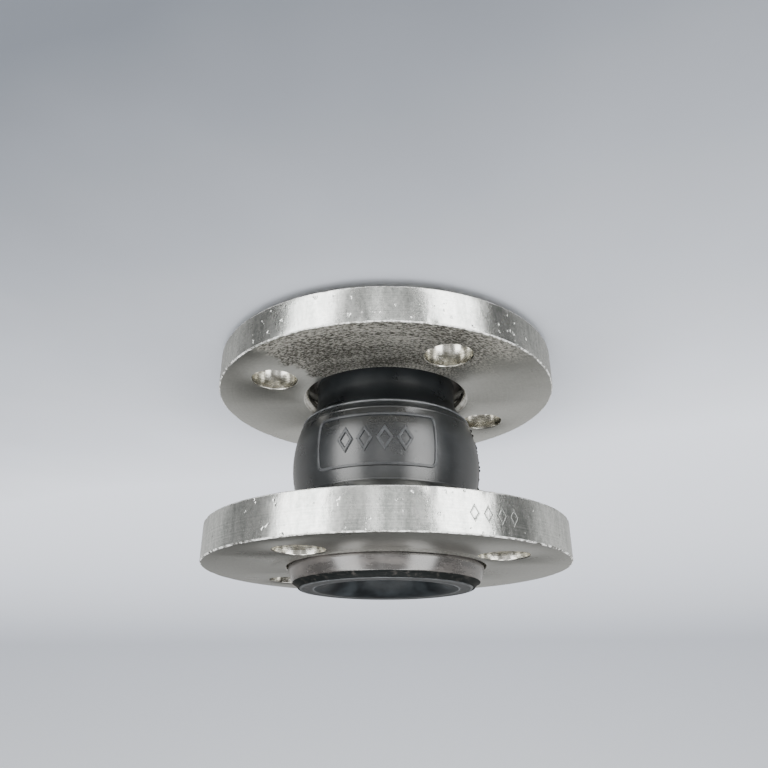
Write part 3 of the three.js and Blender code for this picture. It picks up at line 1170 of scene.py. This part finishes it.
@dataclass
class ArchRelief:
    """What is moulded on the arch: a framed panel with plain lozenges, and the mould's flash."""

    body: RubberBody
    # Finish with a painted highlight, for the frame and the lozenges.
    highlit_relief: bpy.types.Material
    plain: bpy.types.Material
    centre: float = 46.7 * MM
    width: float = 47.5 * MM
    height: float = 20.5 * MM
    corner: float = 2.6 * MM
    band: float = 1.1 * MM
    relief: float = 0.55 * MM
    root: float = 0.3 * MM
    lozenge_count: int = 4
    lozenge_pitch: float = 7.4 * MM
    lozenge_height: float = 10.0 * MM
    grid: float = 0.9 * MM
    flash_foot: float = 0.12 * MM
    flash_ragged: tuple[float, float] = (0.52 * MM, 1.3 * MM)
    flash_root: float = 0.4 * MM
    flash_thickness: float = 0.22 * MM
    seed: int = 7

    def wrap(self, mesh: bmesh.types.BMesh) -> None:
        """Bends a flat relief round the front of the arch.

        X becomes the way round, Y the height above the panel's centre and Z the height of relief.

        Args:
            mesh: The flat relief.
        """
        for vertex in mesh.verts:
            along, up, out = vertex.co
            height = self.centre + up
            angle = along / self.body.arch_radius - math.pi / 2
            radius = self.body.outer(height) + out
            vertex.co = (radius * math.cos(angle), radius * math.sin(angle), height)

    def cut_grid(self, mesh: bmesh.types.BMesh) -> None:
        """Cuts a flat shape at regular steps, so that it can follow the arch."""
        for normal, size in (((1, 0, 0), self.width), ((0, 1, 0), self.height)):
            count = int(size / 2 / self.grid) + 1
            for step in range(-count, count + 1):
                place = Vector(normal) * (step * self.grid)
                geometry = list(mesh.verts) + list(mesh.edges) + list(mesh.faces)
                bmesh.ops.bisect_plane(mesh, geom=geometry, dist=1e-7, plane_co=place, plane_no=normal)

    def raise_band(self, mesh: bmesh.types.BMesh) -> None:
        """Insets the flat faces to a band and makes it a closed strip of the relief's height."""
        inset = bmesh.ops.inset_region(
            mesh, faces=mesh.faces, use_boundary=True, use_even_offset=True, thickness=self.band,
        )
        middle = [face for face in mesh.faces if face not in set(inset["faces"])]
        bmesh.ops.delete(mesh, geom=middle, context="FACES")
        self.cut_grid(mesh)
        top = bmesh.ops.extrude_face_region(mesh, geom=list(mesh.faces), use_keep_orig=True)
        raised = [item for item in top["geom"] if isinstance(item, bmesh.types.BMVert)]
        bmesh.ops.translate(mesh, verts=raised, vec=(0, 0, self.relief + self.root))
        bmesh.ops.translate(mesh, verts=mesh.verts, vec=(0, 0, -self.root))
        bmesh.ops.recalc_face_normals(mesh, faces=mesh.faces)
        lip = [
            edge for edge in mesh.edges
            if edge.verts[0].co.z > 0 and edge.verts[1].co.z > 0 and edge.calc_face_angle(0) > 1.0
        ]
        bmesh.ops.bevel(
            mesh, geom=lip, offset=0.22 * MM, offset_type="OFFSET", segments=2, profile=0.5,
            affect="EDGES", material=-1,
        )

    def frame_mesh(self) -> bmesh.types.BMesh:
        """The rounded rectangle that frames the panel."""
        mesh = bmesh.new()
        size = Matrix.Diagonal((self.width, self.height, 1.0, 1.0))
        bmesh.ops.create_grid(mesh, x_segments=1, y_segments=1, size=0.5, matrix=size)
        bmesh.ops.bevel(
            mesh, geom=list(mesh.verts), offset=self.corner, offset_type="OFFSET", segments=6,
            profile=0.5, affect="VERTICES", material=-1,
        )
        self.raise_band(mesh)
        return mesh

    def lozenge_mesh(self, place: float) -> bmesh.types.BMesh:
        """One raised lozenge outline.

        Args:
            place: Its centre, along the panel.

        Returns:
            The flat relief.
        """
        mesh = bmesh.new()
        shape = Matrix.Diagonal((0.42 * self.lozenge_pitch, 0.5 * self.lozenge_height, 1.0, 1.0))
        bmesh.ops.create_circle(
            mesh, cap_ends=True, radius=1.0, segments=4, matrix=Matrix.Translation((place, 0, 0)) @ shape,
        )
        self.raise_band(mesh)
        return mesh

    def flash_mesh(self, side: int) -> bmesh.types.BMesh:
        """Thin ragged fin where the mould halves met.

        Args:
            side: 1 for the +X side, -1 for the -X side.

        Returns:
            The fin.
        """
        chance = random.Random(self.seed + side)
        low = self.body.ridge_depth + 1.2 * MM
        high = self.body.length - low
        count = 130
        reach = self.flash_ragged[1 if side < 0 else 0]
        mesh = bmesh.new()
        bmesh.ops.create_grid(mesh, x_segments=count, y_segments=1, size=0.5)
        for vertex in mesh.verts:
            height = low + (high - low) * (vertex.co.x + 0.5)
            ragged = max(0.0, noise.noise(Vector((height * 900.0, side * 3.0, 0.5))))
            tall = self.flash_foot + reach * ragged + chance.uniform(0.0, self.flash_foot)
            out = tall if vertex.co.y > 0 else -self.flash_root
            vertex.co = (side * (self.body.outer(height) + out), 0.0, height)
        bmesh.ops.solidify(mesh, geom=list(mesh.faces), thickness=self.flash_thickness)
        bmesh.ops.translate(mesh, verts=mesh.verts, vec=(0, self.flash_thickness / 2, 0))
        return mesh

    def add(self, name: str, mesh: bmesh.types.BMesh, finish: bpy.types.Material) -> None:
        """Dresses a relief mesh and bakes its placement into it."""
        piece = as_piece(name, mesh, [finish], sharp=50.0)
        self.body.bend(piece, Zone.ARCH)

    def build(self) -> None:
        """Builds the panel and the flash."""
        panel = self.frame_mesh()
        self.wrap(panel)
        self.add("panel_frame", panel, self.highlit_relief)
        first = -(self.lozenge_count - 1) / 2
        for index in range(self.lozenge_count):
            mark = self.lozenge_mesh((first + index) * self.lozenge_pitch)
            self.wrap(mark)
            self.add(f"panel_lozenge_{index + 1}", mark, self.highlit_relief)
        for side, label in ((1, "right"), (-1, "left")):
            self.add(f"mould_flash_{label}", self.flash_mesh(side), self.plain)


# ---- Flange -------------------------------------------------------------------------------------


@dataclass
class Flange:
    """A loose flange: a turned and drilled ring with a recess for the bead."""

    side: str
    turn: float
    proud: float
    length: float
    radius: float = 70.0 * MM
    thickness: float = 14.0 * MM
    bore_radius: float = 33.0 * MM
    bolt_circle: float = 50.0 * MM
    hole_radius: float = 9.0 * MM
    holes: int = 4
    edge: float = 0.5 * MM
    recess_radius: float = 38.3 * MM
    recess_depth: float = 5.5 * MM
    cone_depth: float = 4.0 * MM
    bore_chamfer: float = 2.0 * MM
    sides: int = 320
    hole_sides: int = 56
    bore_sides: int = 200
    nick_count: int = 26
    seed: int = 3

    def rim_rings(self) -> list[Point]:
        """Radius and height of the rings of the rim, from outer to inner face."""
        r, t, e = self.radius, self.thickness, self.edge
        low = arc((r - e, e), e, -90.0, 0.0, 3)
        walls = [(r, e + (t - 2 * e) * i / 6) for i in range(1, 6)]
        high = arc((r - e, t - e), e, 0.0, 90.0, 3)
        return low + walls + high

    def hole_rings(self) -> list[Point]:
        """Radius and height of the rings of a bolt hole, from outer to inner face."""
        r, t, e = self.hole_radius, self.thickness, self.edge
        return arc((r + e, e), e, -90.0, -180.0, 3) + arc((r + e, t - e), e, 180.0, 90.0, 3)

    def bore_rings(self) -> list[Point]:
        """Radius and height of the rings of the recess and bore, from outer to inner face."""
        r, t, b = self.bore_radius, self.thickness, self.bore_chamfer
        recess = self.recess_radius
        entry = arc((recess + self.edge, self.edge), self.edge, -90.0, -180.0, 3)
        seat = [
            (recess, self.recess_depth - 0.6 * MM),
            (recess - 0.6 * MM, self.recess_depth + 0.2 * MM),
            (r, self.recess_depth + self.cone_depth),
        ]
        mouth = [
            (r, t - b - 0.2 * MM), (r + 0.08 * MM, t - b), (r + b - 0.15 * MM, t - 0.15 * MM),
            (r + b + 0.2 * MM, t),
        ]
        return entry + seat + mouth

    def mesh(self) -> bmesh.types.BMesh:
        """The flange with its outer face at zero and its first hole on +X."""
        mesh = bmesh.new()
        walls = [[circle(mesh, r, z, self.sides) for r, z in self.rim_rings()]]
        walls.append([circle(mesh, r, z, self.bore_sides) for r, z in self.bore_rings()])
        for index in range(self.holes):
            angle = math.tau * index / self.holes
            centre = (self.bolt_circle * math.cos(angle), self.bolt_circle * math.sin(angle))
            walls.append([circle(mesh, r, z, self.hole_sides, centre) for r, z in self.hole_rings()])
        for end in (0, -1):
            edges = [edge for rings in walls for edge in rings[end]]
            bmesh.ops.triangle_fill(mesh, edges=edges, use_beauty=True)
        for rings in walls:
            loft(mesh, rings)
        self.nick(mesh)
        return mesh

    def nick(self, mesh: bmesh.types.BMesh) -> None:
        """Knocks small dents into the edges of the rim."""
        chance = random.Random(self.seed)
        rim = [v for v in mesh.verts if math.hypot(v.co.x, v.co.y) > self.radius - 1.2 * self.edge]
        for _ in range(self.nick_count):
            angle = chance.uniform(0.0, math.tau)
            height = chance.choice((0.0, self.thickness))
            size = chance.uniform(0.8, 2.4) * MM
            depth = chance.uniform(0.1, 0.4) * MM
            centre = Vector((self.radius * math.cos(angle), self.radius * math.sin(angle), height))
            for vertex in rim:
                near = 1.0 - (vertex.co - centre).length / size
                if near > 0.0:
                    inwards = Vector((-vertex.co.x, -vertex.co.y, 0.0)).normalized()
                    vertex.co += inwards * depth * near

    def dress(self, centre: Vector, normal: Vector) -> int:
        """Index of a face's finish: 0 flange face, 1 rim, 2 drilled wall, 3 edge of the rim."""
        radius = math.hypot(centre.x, centre.y)
        if radius > self.radius - 1.1 * self.edge and 0.2 < abs(normal.z) < 0.99:
            return 3
        if radius > self.radius - 0.9 * self.edge:
            return 1
        if abs(normal.z) > 0.75:
            return 0
        return 2

    def build(self, finishes: Sequence[bpy.types.Material]) -> None:
        """Builds the flange in its place.

        Args:
            finishes: Face, rim, drilled-wall and edge materials.
        """
        mesh = self.mesh()
        place = Matrix.Rotation(self.turn, 4, "Z")
        height = self.proud
        if self.side == "upper":
            place = place @ Matrix.Rotation(math.pi, 4, "X")
            height = self.length - self.proud
        place = Matrix.Translation((0, 0, height)) @ place
        bmesh.ops.transform(mesh, matrix=place, verts=mesh.verts)
        piece = as_piece(f"flange_{self.side}", mesh, finishes, self.dress, sharp=28.0)
        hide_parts(f"{self.side}_flange")
        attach(piece, f"{self.side}_flange")


# ---- Studio ---------------------------------------------------------------------------------------


@dataclass
class Studio:
    """Pale paper, one soft light, reflected screens and a camera that is turned upside down."""

    length: float
    camera_distance: float = 260.4 * MM
    camera_height: float = 127.0 * MM
    camera_aside: float = -0.6 * MM
    camera_turn: float = -6.0
    camera_pitch: float = -24.45
    camera_yaw: float = -0.29
    camera_roll: float = -0.13
    focal: float = 30.75
    paper_width: float = 9.0
    paper_length: float = 9.0
    paper_front: float = 3.5
    sweep_start: float = 2.2
    sweep_radius: float = 1.2
    room_radius: float = 0.3
    room_height: float = 0.5
    box_azimuth: float = 12.0
    box_elevation: float = 64.0
    box_distance: float = 1.5
    box_size: Point = (1.8, 1.6)
    box_power: float = 50.0
    sky: Colour = (0.96, 0.98, 1.0)
    sky_strength: float = 0.9

    def camera(self) -> None:
        """Places the camera."""
        data = bpy.data.cameras.new("camera")
        data.lens = self.focal
        data.clip_start = 0.01
        camera = bpy.data.objects.new("camera", data)
        bpy.context.collection.objects.link(camera)
        aim = Matrix.Rotation(math.radians(self.camera_yaw), 4, "Z")
        aim = aim @ Matrix.Rotation(math.radians(90.0 + self.camera_pitch), 4, "X")
        aim = aim @ Matrix.Rotation(math.radians(180.0 + self.camera_roll), 4, "Z")
        place = Matrix.Translation((self.camera_aside, -self.camera_distance, self.camera_height)) @ aim
        camera.matrix_world = Matrix.Rotation(math.radians(self.camera_turn), 4, "Z") @ place
        bpy.context.scene.camera = camera

    def softbox(self) -> None:
        """Adds the soft overhead light, which faces the joint's middle and isn't reflected."""
        data = bpy.data.lights.new("top_box", "AREA")
        data.shape = "RECTANGLE"
        data.size, data.size_y = self.box_size
        data.energy = self.box_power
        light = bpy.data.objects.new("top_box", data)
        light.visible_glossy = False
        bpy.context.collection.objects.link(light)
        turn = math.radians(self.box_azimuth + self.camera_turn - 90.0)
        rise = math.radians(self.box_elevation)
        level = math.cos(rise)
        towards = Vector((math.cos(turn) * level, math.sin(turn) * level, math.sin(rise)))
        place = Matrix.Translation(Vector((0, 0, self.length / 2)) + towards * self.box_distance)
        light.matrix_world = place @ towards.to_track_quat("Z", "Y").to_matrix().to_4x4()

    def surroundings(self) -> None:
        """Fills the space around with pale light."""
        world = bpy.data.worlds.new("surroundings")
        world.use_nodes = True
        background = world.node_tree.nodes["Background"]
        background.inputs[0].default_value = (*self.sky, 1.0)
        background.inputs[1].default_value = self.sky_strength
        bpy.context.scene.world = world

    def paper(self) -> None:
        """Lays the paper: a floor that sweeps up into a wall behind the joint."""
        mesh = bmesh.new()
        bmesh.ops.create_grid(mesh, x_segments=8, y_segments=64, size=0.5)
        for vertex in mesh.verts:
            along = (vertex.co.y + 0.5) * self.paper_length - self.paper_front
            past = max(0.0, along - self.sweep_start)
            turn = min(past / self.sweep_radius, math.pi / 2)
            back = min(along, self.sweep_start) + self.sweep_radius * math.sin(turn)
            up = self.sweep_radius * (1 - math.cos(turn)) + max(0.0, past - self.sweep_radius * math.pi / 2)
            vertex.co = (vertex.co.x * self.paper_width, back, up)
        paper = as_piece("paper", mesh, [StudioPaper().material()], sharp=180.0)
        paper.visible_glossy = False

    def room(self) -> None:
        """Stands the reflected screens round the joint."""
        mesh = bmesh.new()
        ends = (-self.room_height, self.room_height)
        rings = [circle(mesh, self.room_radius, height, 128) for height in ends]
        loft(mesh, rings)
        for ring in rings:
            bmesh.ops.triangle_fill(mesh, edges=ring, use_beauty=True)
        screens = as_piece("reflected_room", mesh, [ReflectedRoom().material()])
        screens.visible_camera = False
        screens.visible_diffuse = False
        screens.visible_shadow = False
        screens.visible_transmission = False

    def build(self) -> None:
        """Builds the studio."""
        self.camera()
        self.softbox()
        self.surroundings()
        self.paper()
        self.room()


def main() -> None:
    """Builds the joint and its studio."""
    logging.basicConfig(level=logging.INFO, format="%(message)s")
    length = CAD_BOX[1][2] - CAD_BOX[0][2]
    Studio(length).build()
    body = RubberBody(length)
    cover = body.build()
    # The panel frame and lozenges get a pale painted highlight.
    highlit_relief = PaintedHighlightRubber("painted_highlight_relief", (0.02, 0.023, 0.026), (0.085, 0.09, 0.097)).material()
    ArchRelief(body, highlit_relief, cover).build()
    finishes = [finish().material() for finish in (TurnedFace, TurnedRim, DrilledWall, BurredEdge)]
    for side, turn, proud in (("lower", 56.0, 3.4), ("upper", 29.0, 7.7)):
        Flange(side, math.radians(turn), proud * MM, length).build(finishes)


if __name__ == "__main__":
    main()
